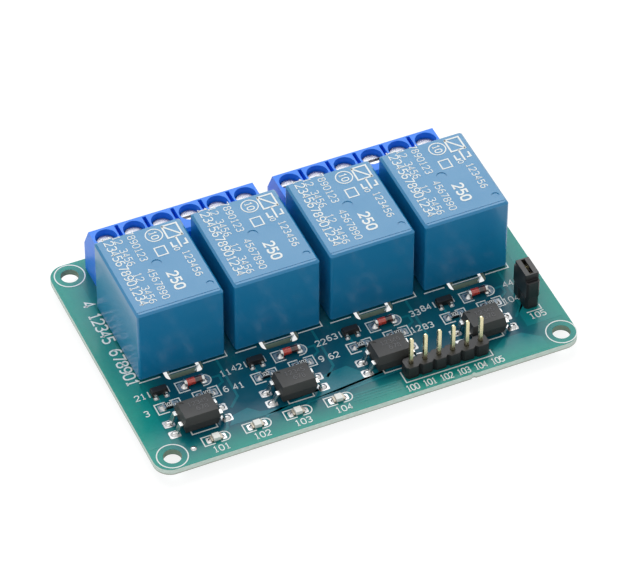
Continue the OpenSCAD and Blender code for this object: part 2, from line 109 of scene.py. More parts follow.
RELAY_BOX = {n: board_box(f"relay_cover_{n}") for n in CHANNELS}
RELAY_X = {n: RELAY_BOX[n][0].x for n in CHANNELS}
RELAY_Y = RELAY_BOX[1][0].y
RELAY_W = RELAY_BOX[1][1].x - RELAY_BOX[1][0].x
RELAY_PITCH = RELAY_X[2] - RELAY_X[1]
OPTO_AT = {n: middle(f"optocoupler_{n}") for n in CHANNELS}
RESISTOR_Y = middle("resistors").y
DIODE_Y = middle("diode_caps").y
DIODE_BOX = board_box("diode_caps")
DIODE_X = {n: DIODE_BOX[0].x + DIODE_HALF + (n - 1) * RELAY_PITCH for n in CHANNELS}
TRANSISTOR_BOX = board_box("transistors")
TRANSISTOR_Y = (TRANSISTOR_BOX[0].y + TRANSISTOR_BOX[1].y) / 2
LIGHTS_BOX = board_box("indicator_lights")
LIGHT_Y = (LIGHTS_BOX[0].y + LIGHTS_BOX[1].y) / 2
LIGHT_STEP = (LIGHTS_BOX[1].x - LIGHTS_BOX[0].x - 2 * LIGHT_HALF) / 3
LIGHT_X = {n: LIGHTS_BOX[0].x + LIGHT_HALF + (n - 1) * LIGHT_STEP for n in CHANNELS}
INPUT_BOX = board_box("input_strip")
JUMPER_BOX = board_box("jumper_strip")
HEAD_PITCH = (INPUT_BOX[1].x - INPUT_BOX[0].x) / 6
MOUNTS = [
    (x, y) for x in (MOUNT_LEFT, BOARD_W - MOUNT_RIGHT) for y in (MOUNT_SIDE, BOARD_D - MOUNT_SIDE)
]


# ---- colour and nodes ----


def colour(code):
    """An sRGB hex colour as linear RGBA."""
    parts = [int(code[k : k + 2], 16) / 255 for k in (1, 3, 5)]
    linear = [c / 12.92 if c <= 0.04045 else ((c + 0.055) / 1.055) ** 2.4 for c in parts]
    return (*linear, 1.0)


def add_node(tree, kind, settings, inputs):
    """Adds a node, sets its properties, and fills or links its inputs by name or number."""
    node = tree.nodes.new(kind)
    for key, value in settings.items():
        setattr(node, key, value)
    for key, value in inputs.items():
        if isinstance(value, bpy.types.NodeSocket):
            tree.links.new(value, node.inputs[key])
        else:
            node.inputs[key].default_value = value
    return node


def start_finish(name):
    """A new material with its shader and the row-frame position in metres."""
    finish = bpy.data.materials.new(name)
    finish.use_nodes = True
    tree = finish.node_tree
    tree.nodes.clear()
    shader = add_node(tree, "ShaderNodeBsdfPrincipled", {}, {})
    add_node(tree, "ShaderNodeOutputMaterial", {}, {"Surface": shader.outputs["BSDF"]})
    place = add_node(tree, "ShaderNodeTexCoord", {}, {}).outputs["Object"]
    return finish, tree, shader, place


def grain(tree, place, size, detail=2.0, stretch=(1, 1, 1)):
    """Noise whose blotches are about size millimetres across, longer along stretch."""
    scaled = add_node(
        tree,
        "ShaderNodeVectorMath",
        {"operation": "MULTIPLY"},
        {0: place, 1: tuple(1 / s for s in stretch)},
    )
    return add_node(
        tree,
        "ShaderNodeTexNoise",
        {},
        {"Vector": scaled.outputs[0], "Scale": 1 / (size * MM), "Detail": detail, "Roughness": 0.55},
    ).outputs["Fac"]


def spread(tree, value, low, high, start=0.3, end=0.7):
    """Maps a value from start..end to low..high."""
    return add_node(
        tree,
        "ShaderNodeMapRange",
        {},
        {"Value": value, "From Min": start, "From Max": end, "To Min": low, "To Max": high},
    ).outputs[0]


def mix(tree, factor, first, second):
    """Blends two colours."""
    return add_node(tree, "ShaderNodeMix", {"data_type": "RGBA"}, {0: factor, 6: first, 7: second}).outputs[2]


def dent(tree, height, depth, strength=1.0):
    """A bump normal whose full height is depth millimetres."""
    return add_node(
        tree, "ShaderNodeBump", {}, {"Height": height, "Distance": depth * MM, "Strength": strength}
    ).outputs[0]


def wire(tree, shader, **sockets):
    """Links outputs to the shader's sockets."""
    for key, value in sockets.items():
        tree.links.new(value, shader.inputs[key.replace("_", " ")])


def fix(shader, **sockets):
    """Sets plain values on the shader's own sockets."""
    for key, value in sockets.items():
        shader.inputs[key.replace("_", " ")].default_value = value


# ---- meshes ----


def lay(origin, turn=0.0, flip=False):
    """A flat plane in millimetres with its origin on the board, turned about its normal, or facing down."""
    base = Matrix.Translation(Vector((BOARD_LOW.x, BOARD_LOW.y, BOARD_HIGH.z)))
    plane = base @ Matrix.Scale(MM, 4) @ Matrix.Translation(Vector(origin))
    plane = plane @ Matrix.Rotation(math.radians(turn), 4, "Z")
    return plane @ Matrix.Rotation(math.pi, 4, "X") if flip else plane


BOARD_TOP = lay((0, 0, 0))


def patch(bm, plane, outline, thick, index=0):
    """A thin plate with the given outline on a plane."""
    top = [bm.verts.new(plane @ Vector((x, y, thick))) for x, y in outline]
    foot = [bm.verts.new(plane @ Vector((x, y, 0))) for x, y in outline]
    faces = [bm.faces.new(top)]
    for k in range(len(top)):
        j = (k + 1) % len(top)
        faces.append(bm.faces.new((foot[k], foot[j], top[j], top[k])))
    for face in faces:
        face.material_index = index


def stroke(bm, plane, points, width, thick=INK_T, closed=False, index=0):
    """A ribbon of even width along the points, mitred at its bends."""
    flat = [Vector(p) for p in points]
    count = len(flat)
    left, right = [], []
    for k, here in enumerate(flat):
        before = flat[k - 1] if closed or k > 0 else None
        after = flat[(k + 1) % count] if closed or k < count - 1 else None
        into = (here - before).normalized() if before is not None else (after - here).normalized()
        out = (after - here).normalized() if after is not None else into
        side = Vector((-into.y - out.y, into.x + out.x))
        side = side.normalized() if side.length > 1e-6 else Vector((-into.y, into.x))
        reach = width / 2 / max(0.5, side.dot(Vector((-into.y, into.x))))
        left.append(here + side * reach)
        right.append(here - side * reach)
    rims = []
    for line in (left, right):
        rims.append([bm.verts.new(plane @ Vector((p.x, p.y, thick))) for p in line])
        rims.append([bm.verts.new(plane @ Vector((p.x, p.y, 0))) for p in line])
    upper_l, lower_l, upper_r, lower_r = rims
    for k in range(count if closed else count - 1):
        j = (k + 1) % count
        for quad in (
            (upper_l[k], upper_r[k], upper_r[j], upper_l[j]),
            (lower_l[k], upper_l[k], upper_l[j], lower_l[j]),
            (upper_r[k], lower_r[k], lower_r[j], upper_r[j]),
        ):
            bm.faces.new(quad).material_index = index


def arc(centre, radius, start, end, steps=16):
    """Points along an arc, in degrees."""
    turns = [math.radians(start + (end - start) * k / steps) for k in range(steps + 1)]
    return [(centre[0] + radius * math.cos(t), centre[1] + radius * math.sin(t)) for t in turns]


def oblong(x, y, w, d, r=0.25, steps=4):
    """Outline of a rectangle with rounded corners, centred on x, y."""
    points = []
    for sx, sy, start in ((1, 1, 0), (-1, 1, 90), (-1, -1, 180), (1, -1, 270)):
        points += arc((x + sx * (w / 2 - r), y + sy * (d / 2 - r)), r, start, start + 90, steps)
    return points


def mound(bm, plane, at, radius, height, stem=0.0, hollow=0.5, steps=20, index=0):
    """A solder fillet swept up from a wide foot to a stem; hollow 0 is a round bead, 1 a hollow cone."""
    levels = 7
    rings = []
    for level in range(levels + 1):
        t = level / levels
        bead = math.cos(t * math.pi / 2)
        cone = (1 - t) ** 2.2
        share = bead * (1 - hollow) + cone * hollow
        z = height * (math.sin(t * math.pi / 2) * (1 - hollow) + t * hollow)
        ring = []
        for k in range(steps):
            a = 2 * math.pi * k / steps
            rx = stem + (radius[0] - stem) * share
            ry = stem + (radius[1] - stem) * share
            if level == levels and stem == 0:
                rx = ry = 0.02
            ring.append(bm.verts.new(plane @ Vector((at[0] + rx * math.cos(a), at[1] + ry * math.sin(a), z))))
        rings.append(ring)
    for lower, upper in zip(rings, rings[1:]):
        for k in range(steps):
            j = (k + 1) % steps
            face = bm.faces.new((lower[k], lower[j], upper[j], upper[k]))
            face.smooth = True
            face.material_index = index
    cap = bm.faces.new(rings[-1])
    cap.smooth = True
    cap.material_index = index


def make_piece(name, bm, finishes, body="board"):
    """Turns a bmesh into a piece that rides on a body and takes a material slot."""
    mesh = bpy.data.meshes.new(name)
    bm.normal_update()
    bm.to_mesh(mesh)
    bm.free()
    piece = bpy.data.objects.new(name, mesh)
    bpy.context.scene.collection.objects.link(piece)
    for finish in finishes:
        mesh.materials.append(finish)
    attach(piece, body)
    return piece


def dress(node, *finishes):
    """Gives a CAD node its finishes, the first on every face."""
    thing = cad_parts[node]
    thing.data.materials.clear()
    for finish in finishes:
        thing.data.materials.append(finish)
    return thing


def soften(thing, width, segments=2, angle=35):
    """Rounds a CAD node's moulded or cut edges by width millimetres."""
    weld = thing.modifiers.new("join", "WELD")
    weld.merge_threshold = 1e-6
    bevel = thing.modifiers.new("edge", "BEVEL")
    bevel.width = width * MM
    bevel.segments = segments
    bevel.limit_method = "ANGLE"
    bevel.angle_limit = math.radians(angle)
    bevel.use_clamp_overlap = True
    normals = thing.modifiers.new("shading", "WEIGHTED_NORMAL")
    normals.keep_sharp = True


# ---- figures for the print ----

FIGURES = {
    "0": [[(0, 1.6), (0, 4.4), (0.6, 5.6), (1.5, 6), (2.5, 6), (3.4, 5.6), (4, 4.4), (4, 1.6), (3.4, 0.4),
           (2.5, 0), (1.5, 0), (0.6, 0.4), (0, 1.6)]],
    "1": [[(0.8, 4.8), (2.1, 6), (2.1, 0)], [(0.8, 0), (3.4, 0)]],
    "2": [[(0, 4.6), (0.5, 5.6), (1.5, 6), (2.6, 6), (3.6, 5.5), (4, 4.5), (3.6, 3.3), (0, 0), (4, 0)]],
    "3": [[(0, 5.4), (1.2, 6), (2.6, 6), (3.6, 5.5), (3.9, 4.5), (3.4, 3.5), (2.2, 3.1), (3.5, 2.7),
           (4, 1.6), (3.6, 0.5), (2.6, 0), (1.2, 0), (0, 0.6)]],
    "4": [[(3, 0), (3, 6), (0, 1.8), (4, 1.8)]],
    "5": [[(3.7, 6), (0.5, 6), (0.3, 3.3), (1.6, 3.7), (2.8, 3.5), (3.8, 2.6), (4, 1.6), (3.5, 0.5),
           (2.4, 0), (1.2, 0), (0, 0.5)]],
    "6": [[(3.4, 5.7), (2.3, 6), (1.1, 5.5), (0.3, 4.2), (0, 2), (0.6, 0.5), (1.7, 0), (2.8, 0.1),
           (3.8, 0.9), (4, 2), (3.5, 3.1), (2.4, 3.6), (1.2, 3.4), (0.2, 2.5)]],
    "7": [[(0, 6), (4, 6), (1.5, 0)]],
    "8": [[(1.4, 3.2), (0.4, 3.9), (0.3, 5), (1.2, 5.9), (2.8, 5.9), (3.7, 5), (3.6, 3.9), (2.6, 3.2),
           (1.4, 3.2), (0.3, 2.4), (0, 1.3), (0.8, 0.2), (2, 0), (3.2, 0.2), (4, 1.3), (3.7, 2.4),
           (2.6, 3.2)]],
    "9": [[(0.6, 0.3), (1.7, 0), (2.9, 0.5), (3.7, 1.8), (4, 4), (3.4, 5.5), (2.3, 6), (1.2, 5.9),
           (0.2, 5.1), (0, 4), (0.5, 2.9), (1.6, 2.4), (2.8, 2.6), (3.8, 3.5)]],
    "-": [[(0.6, 3), (3.4, 3)]],
}


def figures(bm, plane, text, height, weight, advance=0.86, wide=0.62, index=0):
    """Prints digits along the plane's X axis, centred on its origin."""
    step = height * advance
    x = -step * (len(text) - 1) / 2
    for sign in text:
        for line in FIGURES.get(sign, []):
            points = [
                (x + (px / 4 - 0.5) * height * wide, (py / 6 - 0.5) * height) for px, py in line
            ]
            stroke(bm, plane, points, weight, index=index)
        x += step


# ---- settings a user would change ----


def tint(label, code, about):
    """A colour setting with its default from a hex code."""
    return FloatVectorProperty(
        name=label, description=about, subtype="COLOR", size=4, min=0, max=1, default=colour(code)
    )


class BoardLook(bpy.types.PropertyGroup):
    """Laminate, mask, copper and legend."""

    mask: tint("Mask", "#03566c", "Solder mask over bare laminate")
    # painted highlight: the mask's lighter, greener colour towards the routed rim
    mask_rim_highlight: tint("Mask at the rim", "#0f9a8c", "Solder mask near the routed edges")
    mask_copper: tint("Mask over copper", "#127888", "Solder mask over copper fills")
    cut: tint("Cut edge", "#e6fbf2", "Routed edge of the laminate")
    ink: tint("Legend", "#f4f8f6", "Legend ink")
    line: FloatProperty(
        name="Legend line", description="Width of the legend's lines, mm", default=0.2, min=0.1, max=0.4
    )


class PlasticLook(bpy.types.PropertyGroup):
    """Moulded parts."""

    relay: tint("Relay covers", "#0f82b6", "Relay covers and bases")
    terminal: tint("Terminals", "#1e86ff", "Terminal blocks")
    epoxy: tint("Optocouplers", "#343433", "Optocoupler bodies")
    black: tint("Headers", "#1b1b1d", "Header strips and jumper cap")
    edge: FloatProperty(
        name="Edge rounding", description="Rounding of moulded edges, mm", default=0.1, min=0.02, max=0.3
    )


class MetalLook(bpy.types.PropertyGroup):
    """Plated and soldered metal."""

    tin: tint("Tin plate", "#d6d6d4", "Tinned leads and contacts")
    solder: tint("Solder", "#cdcdcd", "Reflowed solder")
    screw: tint("Screws", "#aeaeb2", "Plated terminal screws")
    pin: tint("Header pins", "#e6dcb4", "Plated header pins")


class StageLook(bpy.types.PropertyGroup):
    """Light, floor and camera."""

    key: FloatProperty(name="Key light", description="Power of the overhead light, W", default=10.0, min=0)
    fill: FloatProperty(name="Fill light", description="Power of the front light, W", default=1.5, min=0)
    sky: FloatProperty(name="Sky", description="Strength of the even light", default=0.5, min=0)
    lens: FloatProperty(name="Lens", description="Focal length, mm", default=255.5, min=20)


class RelayBoardLook(bpy.types.PropertyGroup):
    """Everything a user may change on the relay board."""

    board: PointerProperty(type=BoardLook, name="Board", description="Laminate, mask and legend")
    plastic: PointerProperty(type=PlasticLook, name="Plastic", description="Moulded parts")
    metal: PointerProperty(type=MetalLook, name="Metal", description="Plated and soldered metal")
    stage: PointerProperty(type=StageLook, name="Stage", description="Light, floor and camera")


# ---- finishes ----


def solder_mask(look, name, tone):
    """Liquid solder mask over glass laminate, curtain coated, exposed and cured.

    Level and mildly glossy, with a painted highlight that turns it greener and lighter towards the routed
    rim.
    """
    finish, tree, shader, place = start_finish(name)
    axes = add_node(tree, "ShaderNodeSeparateXYZ", {}, {0: place})
    edge_x = add_node(tree, "ShaderNodeMath", {"operation": "ABSOLUTE"}, {0: axes.outputs[0]}).outputs[0]
    edge_y = add_node(tree, "ShaderNodeMath", {"operation": "ABSOLUTE"}, {0: axes.outputs[1]}).outputs[0]
    half_w, half_d = BOARD_W * MM / 2, BOARD_D * MM / 2
    # painted highlight: the mask turns lighter and greener within about 9 mm of the left and right edges and
    # 6 mm of the front and back edges
    rim_highlight_x = spread(tree, edge_x, 0, 1, half_w - 9 * MM, half_w)
    rim_highlight_y = spread(tree, edge_y, 0, 1, half_d - 6 * MM, half_d)
    rim = add_node(tree, "ShaderNodeMath", {"operation": "MAXIMUM"}, {0: rim_highlight_x, 1: rim_highlight_y}).outputs[0]
    cloud = spread(tree, grain(tree, place, 9, 3), -0.12, 0.12)
    rim = add_node(
        tree, "ShaderNodeMath", {"operation": "ADD", "use_clamp": True}, {0: rim, 1: cloud}
    ).outputs[0]
    base = mix(tree, rim, tone, look.mask_rim_highlight)
    weave = grain(tree, place, 0.45, 1)
    base = mix(tree, spread(tree, weave, 0, 0.08), base, (0.0, 0.02, 0.03, 1))
    wire(
        tree,
        shader,
        Base_Color=base,
        Roughness=spread(tree, grain(tree, place, 2.5), 0.16, 0.26),
        Normal=dent(tree, weave, 0.006),
    )
    fix(shader, IOR=1.52, Specular_IOR_Level=0.25)
    return finish


def routed_laminate(name, tone, dark):
    """Glass-filled epoxy laminate, routed: chalky pale fibres, darker towards the bottom of the edge."""
    finish, tree, shader, place = start_finish(name)
    height = add_node(tree, "ShaderNodeSeparateXYZ", {}, {0: place}).outputs[2]
    low = spread(tree, height, 1, 0, BOARD_LOW.z, BOARD_LOW.z + 0.3 * BOARD_T * MM)
    fibres = grain(tree, place, 0.25, 3, (3, 3, 0.6))
    base = mix(tree, low, tone, dark)
    base = mix(tree, spread(tree, fibres, 0, 0.35), base, dark)
    wire(tree, shader, Base_Color=base, Normal=dent(tree, fibres, 0.03))
    fix(shader, Roughness=0.62, IOR=1.5)
    return finish


def legend_ink(look, name="screen_printed_epoxy_ink"):
    """Epoxy ink, screen printed: chalk white, slightly soaked in at its edges."""
    finish, tree, shader, place = start_finish(name)
    speck = grain(tree, place, 0.12, 2)
    base = mix(tree, spread(tree, speck, 0, 0.12), look.ink, (0.5, 0.62, 0.64, 1))
    wire(tree, shader, Base_Color=base, Normal=dent(tree, speck, 0.005))
    fix(shader, Roughness=0.55, IOR=1.5)
    return finish


def moulded(name, tone, rough, size=0.12, depth=0.006, vary=0.12, coat=0.0):
    """Injection-moulded plastic from an eroded tool: fine even grain that breaks up the gloss.

    The grain is drawn a little coarser than the tool's, so that it shows.
    """
    finish, tree, shader, place = start_finish(name)
    fine = grain(tree, place, size, 2)
    broad = grain(tree, place, 5, 2)
    deep = (tone[0] * 0.72, tone[1] * 0.78, tone[2] * 0.82, 1)
    base = mix(tree, spread(tree, broad, 0, vary), tone, deep)
    base = mix(tree, spread(tree, fine, 0, vary), base, deep)
    wire(
        tree,
        shader,
        Base_Color=base,
        Roughness=spread(tree, broad, rough - 0.04, rough + 0.05),
        Normal=dent(tree, fine, depth),
    )
    fix(shader, IOR=1.5, Coat_Weight=coat, Coat_Roughness=0.12)
    return finish


def plated(name, tone, rough, size=0.3, depth=0.004, stretch=(1, 1, 1)):
    """Bright plate on stamped or drawn metal: clean highlights with faint draw marks."""
    finish, tree, shader, place = start_finish(name)
    marks = grain(tree, place, size, 3, stretch)
    dull = (tone[0] * 0.7, tone[1] * 0.69, tone[2] * 0.66, 1)
    wire(
        tree,
        shader,
        Base_Color=mix(tree, spread(tree, marks, 0, 0.5), tone, dull),
        Roughness=spread(tree, marks, rough, rough + 0.12),
        Normal=dent(tree, marks, depth),
    )
    fix(shader, Metallic=1.0)
    return finish


def turned_plate(name, tone):
    """Zinc-plated steel, turned: fine rings round each screw's own axis."""
    finish, tree, shader, place = start_finish(name)
    own = add_node(tree, "ShaderNodeTexCoord", {}, {}).outputs["Generated"]
    centred = add_node(
        tree, "ShaderNodeVectorMath", {"operation": "SUBTRACT"}, {0: own, 1: (0.5, 0.5, 0.5)}
    ).outputs[0]
    rings = add_node(
        tree,
        "ShaderNodeTexWave",
        {"wave_type": "RINGS", "rings_direction": "Z"},
        {"Vector": centred, "Scale": 9.0, "Distortion": 0.6, "Detail": 1.0},
    ).outputs["Fac"]
    marks = grain(tree, place, 0.2, 2)
    wire(
        tree,
        shader,
        Base_Color=mix(tree, spread(tree, marks, 0, 0.3), tone, (0.45, 0.45, 0.47, 1)),
        Roughness=spread(tree, rings, 0.16, 0.3, 0, 1),
        Normal=dent(tree, rings, 0.006),
    )
    fix(shader, Metallic=1.0)
    return finish


def red_glass(name="red_glass_diode_sleeve"):
    """Glass sleeve over a painted die, drawn: glossy red-orange with a dark band and a dark far end."""
    finish, tree, shader, place = start_finish(name)
    x = add_node(tree, "ShaderNodeSeparateXYZ", {}, {0: place}).outputs[0]
    start = BOARD_LOW.x + (DIODE_BOX[0].x) * MM
    along = add_node(tree, "ShaderNodeMath", {"operation": "SUBTRACT"}, {0: x, 1: start}).outputs[0]
    along = add_node(
        tree, "ShaderNodeMath", {"operation": "MODULO"}, {0: along, 1: RELAY_PITCH * MM}
    ).outputs[0]
    band = spread(tree, along, 0, 1, 1.75 * MM, 1.95 * MM)
    end = spread(tree, along, 0, 1, 2.45 * MM, 2.7 * MM)
    streak = grain(tree, place, 0.35, 2)
    red = mix(tree, spread(tree, streak, 0, 0.5), colour("#e23a1c"), colour("#9a1a12"))
    base = mix(tree, band, red, colour("#2a0c0a"))
    base = mix(tree, end, base, colour("#55201a"))
    wire(tree, shader, Base_Color=base)
    fix(shader, Roughness=0.08, IOR=1.52, Coat_Weight=1.0, Coat_Roughness=0.03)
    return finish


# ---- operators ----


class PieceOperator(bpy.types.Operator):
    """Shared by the operators that dress or build one group of pieces."""

    bl_options = {"REGISTER", "UNDO"}

    def look(self, context):
        """The board's settings."""
        return context.scene.relay_board


class RELAYBOARD_OT_laminate(PieceOperator):
    """Finish the circuit board's mask, cut edges and hole walls, and lay copper under the mask"""

    bl_idname = "relay_board.laminate"
    bl_label = "Circuit board"

    def execute(self, context):
        look = self.look(context).board
        mask = solder_mask(look, "solder_mask_on_laminate", look.mask)
        over_copper = solder_mask(look, "solder_mask_over_copper", look.mask_copper)
        cut = routed_laminate("routed_laminate_edge", look.cut, colour("#8f8a78"))
        wall = routed_laminate("drilled_laminate_wall", colour("#8fa896"), colour("#5d7468"))
        board = dress("circuit_board", mask, cut, wall)
        for face in board.data.polygons:
            if abs(face.normal.z) > 0.9:
                face.material_index = 0
                continue
            at = on_board(face.center)
            rim = min(at.x, at.y, BOARD_W - at.x, BOARD_D - at.y)
            face.material_index = 1 if rim < 1.0 else 2
        soften(board, 0.06)
        self.lay_copper(over_copper)
        return {"FINISHED"}

    def lay_copper(self, finish):
        """Fills and tracks that show through the mask, on both faces."""
        bm = bmesh.new()
        fills = [
            [(0.5, 5.6), (4.4, 5.6), (4.4, BOARD_D - 6), (0.5, BOARD_D - 6)],
            [(14.6, 5.4), (16.0, 7.4), (18.8, 8.0), (20.4, 6.4), (23.6, 5.8), (30.2, 5.8), (31.4, 9.6),
             (37.6, 10.2), (39.6, 7.8), (43.2, 7.2), (43.2, 6.2), (38.6, 5.6), (25.0, 5.2)],
            [(69.2, 6.4), (BOARD_W - 0.5, 6.4), (BOARD_W - 0.5, BOARD_D - 6), (73.6, BOARD_D - 6),
             (73.6, 16), (69.2, 9.8)],
            [(61.4, 0.5), (70.4, 0.5), (70.4, 3.2), (67.6, 5.4), (64.2, 5.4), (61.4, 3.6)],
        ]
        for outline in fills:
            patch(bm, BOARD_TOP, outline, FILL_T)
        for k in range(4):
            y = 1.7 + 0.62 * k
            stroke(bm, BOARD_TOP, [(36.4 - 1.2 * k, y), (43.8, y)], 0.3, FILL_T)
        for n in CHANNELS:
            x = RELAY_X[n]
            opto = OPTO_AT[n]
            runs = [
                [(LIGHT_X[n] + 0.9, LIGHT_Y), (LIGHT_X[n] + 2.6, LIGHT_Y + 1.4),
                 (opto.x + 4.5, opto.y - 1.3)],
                [(x + 9.9, RESISTOR_Y), (x + 12.6, RESISTOR_Y + 1.6), (x + 12.6, DIODE_Y), (x + 10, DIODE_Y)],
                [(x + 1.4, TRANSISTOR_Y - 0.9), (x + 1.4, RESISTOR_Y)],
                [(x + 13.6, RELAY_Y - 0.4), (x + 13.6, RESISTOR_Y - 2.4), (x + 11.6, RESISTOR_Y - 4.4)],
            ]
            for run in runs:
                stroke(bm, BOARD_TOP, run, 0.45, FILL_T)
        under = lay((0, BOARD_D, -BOARD_T), flip=True)
        for n in CHANNELS:
            x = RELAY_X[n]
            # wide runs from the contact pins to the screw terminals, seen from below
            for k, (pin_x, pin_y) in enumerate(((1.7, 16.5), (RELAY_W - 1.7, 16.5))):
                block = middle(f"clamp_screw_{3 * n - 2 + 2 * k}")
                y0 = BOARD_D - RELAY_Y - pin_y
                y1 = BOARD_D - block.y
                stroke(bm, under, [(x + pin_x, y0), (x + pin_x, y0 - 2.4), (block.x, y1)], 2.4, COPPER_T)
            stroke(
                bm,
                under,
                [(x + RELAY_W / 2, BOARD_D - RELAY_Y - 2.3), (x + RELAY_W / 2, BOARD_D - RELAY_Y - 15.2)],
                3.0,
                COPPER_T,
            )
            stroke(
                bm,
                under,
                [(x + 1.7, BOARD_D - RELAY_Y - 4.3), (x + 1.7, BOARD_D - DIODE_Y), (x + 6, BOARD_D - 12)],
                0.8,
                COPPER_T,
            )
        make_piece("copper_under_mask", bm, [finish])


class RELAYBOARD_OT_legend(PieceOperator):
    """Print the legend: outlines, rings and plain numbers"""

    bl_idname = "relay_board.legend"
    bl_label = "Legend"

    def execute(self, context):
        look = self.look(context).board
        line = look.line
        bm = bmesh.new()
        for x, y in MOUNTS:
            stroke(bm, BOARD_TOP, arc((x, y), 2.6, 0, 352.5, 47), line, closed=True)
        for n in CHANNELS:
            self.channel(bm, n, line)
        self.headers(bm, line)
        # long number down the left side
        figures(bm, lay((3.7, 30.8, 0), -90), "4 12345 678901", 1.95, 0.3, 0.785, 0.6)
        make_piece("legend", bm, [legend_ink(look)])
        return {"FINISHED"}

    def channel(self, bm, n, line):
        """Outlines and numbers for one channel."""
        x = RELAY_X[n]
        front = RELAY_Y - 0.3
        opto = OPTO_AT[n]
        lines = [
            [(x - 0.2, front), (x + 3.6, front)],
            [(x + 11.2, front), (x + RELAY_W + 0.2, front), (x + RELAY_W + 0.2, RELAY_Y + 1.2)],
            [(x + 5.0, front), (x + 10.4, front), (x + 9.4, front - 1.0)],
            [(opto.x - 2.0, opto.y - 1.1), (opto.x - 2.0, opto.y - 2.5), (opto.x + 2.5, opto.y - 2.5),
             (opto.x + 2.5, opto.y - 1.1)],
            [(x + 2.0, RESISTOR_Y + 1.1), (x + 0.1, RESISTOR_Y + 1.1), (x + 0.1, RESISTOR_Y - 1.25),
             (x + 2.0, RESISTOR_Y - 1.25)],
            [(x + 2.8, RESISTOR_Y + 1.1), (x + 4.5, RESISTOR_Y + 1.1), (x + 4.5, RESISTOR_Y - 1.25),
             (x + 2.8, RESISTOR_Y - 1.25)],
            [(x + 9.6, RESISTOR_Y + 1.2), (x + 11.3, RESISTOR_Y + 1.2), (x + 11.3, RESISTOR_Y - 1.1),
             (x + 9.6, RESISTOR_Y - 1.1)],
            [(x + 8.6, RESISTOR_Y + 1.2), (x + 6.9, RESISTOR_Y + 1.2), (x + 6.9, RESISTOR_Y - 1.1),
             (x + 8.6, RESISTOR_Y - 1.1)],
            [(x + 7.0, DIODE_Y + 1.2), (x + 5.1, DIODE_Y + 1.2), (x + 5.1, DIODE_Y - 1.2),
             (x + 7.0, DIODE_Y - 1.2)],
            [(x + 9.3, DIODE_Y + 1.2)] + arc((x + 9.9, DIODE_Y), 1.2, 90, -90) + [(x + 9.3, DIODE_Y - 1.2)],
            [(x + 3.75, TRANSISTOR_Y + 0.9), (x + 3.75, TRANSISTOR_Y - 0.5)],
            [(x + 0.25, TRANSISTOR_Y + 0.9), (x + 0.25, TRANSISTOR_Y - 0.5)],
        ]
        light = LIGHT_X[n]
        lines += [
            [(light - 0.5, LIGHT_Y + 1.0), (light - 2.35, LIGHT_Y + 1.0), (light - 2.35, LIGHT_Y - 1.0),
             (light - 0.5, LIGHT_Y - 1.0)],
            [(light + 0.5, LIGHT_Y + 1.0)] + arc((light + 1.4, LIGHT_Y), 1.0, 90, -90)
            + [(light + 0.5, LIGHT_Y - 1.0)],
        ]
        for points in lines:
            stroke(bm, BOARD_TOP, points, line)
        figures(bm, lay((light, LIGHT_Y - 2.25, 0)), f"{100 + n}", 1.2, line * 0.9)
        labels = [
            ((x - 1.3, TRANSISTOR_Y + 0.2), f"{2 * n}{n}"),
            ((x + 13.8, DIODE_Y + 0.1), f"{n}{n}"),
            ((x - 1.7 if n == 1 else x + 12.4 - RELAY_PITCH, RESISTOR_Y - 0.2), f"{3 * n}"),
            ((x + 14.6 if n < 4 else x + 12.7, RESISTOR_Y - 0.3), f"{2 * n + 2}{n}"),
        ]
        for (px, py), text in labels:
            figures(bm, lay((px, py, 0)), text, 1.2, line * 0.9)

    def headers(self, bm, line):
        """Outlines and numbers of the input header and the jumper."""
        low, high = INPUT_BOX
        jump_low, jump_high = JUMPER_BOX
        lines = [
            [(low.x - 0.3, low.y + 2.0), (low.x - 0.3, low.y - 0.55), (high.x + 0.3, low.y - 0.55),
             (high.x + 0.3, low.y + 0.8)],
            [(jump_low.x - 0.1, jump_low.y - 0.7), (jump_high.x + 0.1, jump_low.y - 0.7),
             (jump_high.x + 0.1, jump_low.y + 0.4)],
        ]
        for points in lines:
            stroke(bm, BOARD_TOP, points, line)
        row_x = (low.x + high.x) / 2 + 0.35
        figures(bm, lay((row_x, low.y - 1.9, 0)), "100 101 102 103 104 105", 1.25, line * 0.95, 0.62, 0.5)
        figures(bm, lay((jump_high.x - 1.1, jump_low.y - 1.75, 0)), "105", 1.2, line * 0.9)


